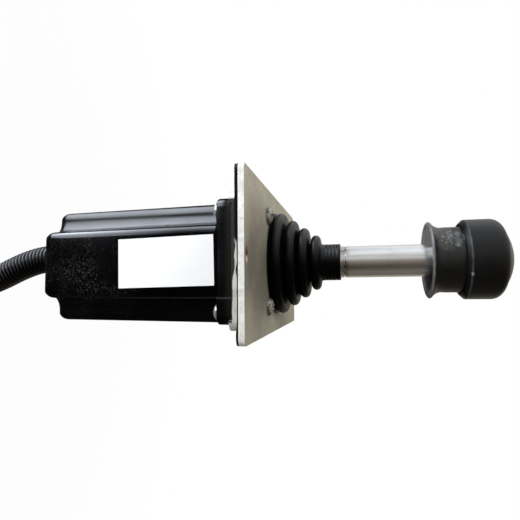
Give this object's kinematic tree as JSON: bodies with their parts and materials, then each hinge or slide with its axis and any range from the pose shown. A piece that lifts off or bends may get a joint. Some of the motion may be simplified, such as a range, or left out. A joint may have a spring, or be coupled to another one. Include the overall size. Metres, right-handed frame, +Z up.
{
  "type": "joystick controller",
  "caption": "Panel-mounted two-axis joystick controller with lift-to-release collar, round cap, rubber boot, moulded rear cover and corrugated conduit.",
  "frame": {"origin": "centre of the face that the gasket puts on the panel", "axes": "+Z up the lever, towards the cap; -Y towards the side that carries the label; the plate's long side lies along Y"},
  "size_m": [0.0759, 0.136, 0.5746],
  "materials": {
    "plate_metal": "pale, slightly worn",
    "black_rubber": "matte",
    "screw_steel": "zinc plated",
    "cast_metal": "as cast",
    "bush_plastic": "plain",
    "matte_black": "satin",
    "spring_steel": "bright",
    "shaft_metal": "satin, turned",
    "worn_black": "dark coating worn to a dull grey",
    "insert_grey": "plain",
    "gloss_black": "moulded, dusty",
    "board_green": "lacquered",
    "label_white": "blank film"
  },
  "bodies": {
    "base": {"front_plate": "plate_metal", "plate_gasket": "black_rubber", "plate_screws": "screw_steel", "pivot_frame": "cast_metal", "trunnion_bushes": "bush_plastic", "gimbal_sensor": "matte_black", "bail_sensor": "matte_black", "gimbal_spring": "spring_steel", "bail_spring": "spring_steel", "boot": "black_rubber", "housing_seal": "black_rubber", "housing_shell": "gloss_black", "housing_screws": "screw_steel", "mechanism_bracket": "plate_metal", "bracket_screws": "screw_steel", "lock_cup": "spring_steel", "circuit_board": "board_green", "board_components": "matte_black", "blank_label": "label_white", "conduit_gland": "matte_black", "gland_locknut": "matte_black", "conduit": "gloss_black", "harness_plug": "matte_black", "plug_latch": "insert_grey"},
    "gimbal": {"gimbal_ring": "cast_metal", "lever_pins": "screw_steel"},
    "bail": {"sensor_bail": "cast_metal"},
    "lever": {"lever_shaft": "shaft_metal", "knob_cap": "matte_black", "cap_insert": "insert_grey", "cap_screw": "screw_steel", "collar_spring": "spring_steel"},
    "collar": {"lift_collar": "worn_black", "lock_rod": "spring_steel", "lift_pin": "spring_steel"}
  },
  "joints": [
    {"name": "gimbal_tilt", "type": "hinge", "parent": "base", "child": "gimbal", "pos_m": [0, 0, -0.006], "axis": [0, 1, 0], "range_deg": [-20, 20], "stiffness_Nm_per_rad": 0.8, "deforming": ["boot", "gimbal_spring"]},
    {"name": "lever_tilt", "type": "hinge", "parent": "gimbal", "child": "lever", "pos_m": [0, 0, -0.006], "axis": [1, 0, 0], "range_deg": [-20, 20], "stiffness_Nm_per_rad": 0.8},
    {"name": "bail_swing", "type": "hinge", "parent": "base", "child": "bail", "pos_m": [0, 0, -0.006], "axis": [1, 0, 0], "range_deg": [-20.5, 20.5], "deforming": ["bail_spring"]},
    {"name": "collar_lift", "type": "slide", "parent": "lever", "child": "collar", "axis": [0, 0, 1], "range_m": [0, 0.006], "stiffness_N_per_m": 600, "springref_m": -0.004, "deforming": ["collar_spring"]}
  ],
  "couplings": [
    {"joint": "bail_swing", "follows": "lever_tilt", "ratio": 1}
  ]
}
